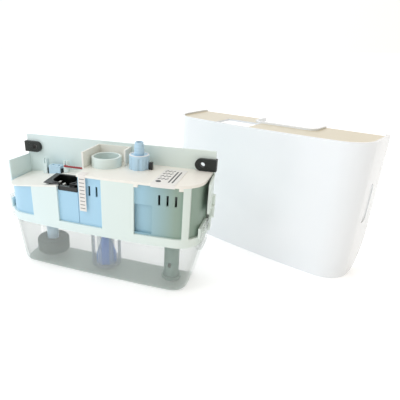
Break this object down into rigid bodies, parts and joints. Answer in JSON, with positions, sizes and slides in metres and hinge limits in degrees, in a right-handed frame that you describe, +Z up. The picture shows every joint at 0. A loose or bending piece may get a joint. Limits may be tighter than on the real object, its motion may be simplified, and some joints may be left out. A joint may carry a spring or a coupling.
{
  "type": "condensate pump",
  "caption": "Compact wall-hung condensate pump with a clear tank held by snap loops, float switch, motor with pump leg, valved hose spigot and a lift-off cover stood beside it.",
  "frame": {"origin": "centre of the tank's flat underside", "axes": "+X to the right seen from the front, +Y towards the wall behind the pump, +Z up"},
  "size_m": [0.3563, 0.2228, 0.137],
  "materials": {
    "white_plastic": "satin moulded",
    "ivory_plastic": "fine moulded grain",
    "cover_white": "polished",
    "light_blue_plastic": "satin moulded",
    "grey_blue_plastic": "satin moulded",
    "pale_blue_plastic": "satin moulded",
    "cone_blue_plastic": "satin moulded",
    "clear_grey": "clear moulded",
    "clear_strainer": "clear moulded",
    "black_plastic": "satin moulded",
    "black_rubber": "soft matt",
    "float_foam": "closed cell",
    "green_grey_plastic": "satin moulded",
    "steel": "bright",
    "nickel": "nickel plated",
    "sintered_bronze": "porous",
    "lamination": "stacked sheet",
    "copper_winding": "enamelled",
    "magnet": "sintered",
    "green_board": "solder mask",
    "red_insulation": "soft",
    "label_film": "satin film",
    "dark_blade": "tinned, dark"
  },
  "bodies": {
    "pump_frame": {"cradle": "white_plastic", "base_pan": "white_plastic", "wall_plate": "white_plastic", "deck": "ivory_plastic", "low_deck": "ivory_plastic", "inlet_collar": "white_plastic", "strainer": "clear_strainer", "spreader_cone": "cone_blue_plastic", "valve_body": "pale_blue_plastic", "valve_nut": "pale_blue_plastic", "valve_seal": "black_rubber", "hose_spigot": "pale_blue_plastic", "riser_tube": "clear_strainer", "wall_ear_left": "black_rubber", "wall_ear_right": "black_rubber", "float_housing": "light_blue_plastic", "inlet_housing": "light_blue_plastic", "control_housing": "light_blue_plastic", "motor_housing": "grey_blue_plastic", "end_housing": "grey_blue_plastic", "mains_inlet": "black_plastic", "mains_pins": "nickel", "terminal_posts": "white_plastic", "terminal_block": "pale_blue_plastic", "terminal_blades": "dark_blade", "red_wire": "red_insulation", "strip_label": "label_film", "rating_label": "label_film", "float_stem": "pale_blue_plastic", "float_stop": "pale_blue_plastic", "reed_switches": "clear_strainer", "control_board": "green_board", "relay": "black_plastic", "capacitor": "cone_blue_plastic", "motor_stator": "lamination", "motor_coil": "copper_winding", "motor_bracket": "steel", "bearing_upper": "sintered_bronze", "bearing_lower": "sintered_bronze", "pump_leg": "green_grey_plastic", "leg_foot": "green_grey_plastic", "bracket_screws": "steel"},
    "tank_body": {"tank": "clear_grey"},
    "float_body": {"float": "float_foam", "float_magnet": "magnet"},
    "rotor_body": {"rotor": "lamination", "shaft": "steel", "impeller": "white_plastic"},
    "ball_body": {"valve_ball": "white_plastic"},
    "cover_body": {"cover": "cover_white"}
  },
  "joints": [
    {"name": "tank_slide", "type": "slide", "parent": "pump_frame", "child": "tank_body", "axis": [0, 0, -1], "range_m": [0, 0.06]},
    {"name": "float_slide", "type": "slide", "parent": "pump_frame", "child": "float_body", "axis": [0, 0, 1], "range_m": [0, 0.02]},
    {"name": "rotor_spin", "type": "hinge", "parent": "pump_frame", "child": "rotor_body", "pos_m": [0.072, 0.0025, 0.08], "axis": [0, 0, 1], "continuous": true},
    {"name": "ball_lift", "type": "slide", "parent": "pump_frame", "child": "ball_body", "axis": [0, 0, 1], "range_m": [0, 0.0025]},
    {"name": "cover_lift", "type": "slide", "parent": "pump_frame", "child": "cover_body", "axis": [0, 0, 1], "range_m": [0, 0.12]}
  ]
}
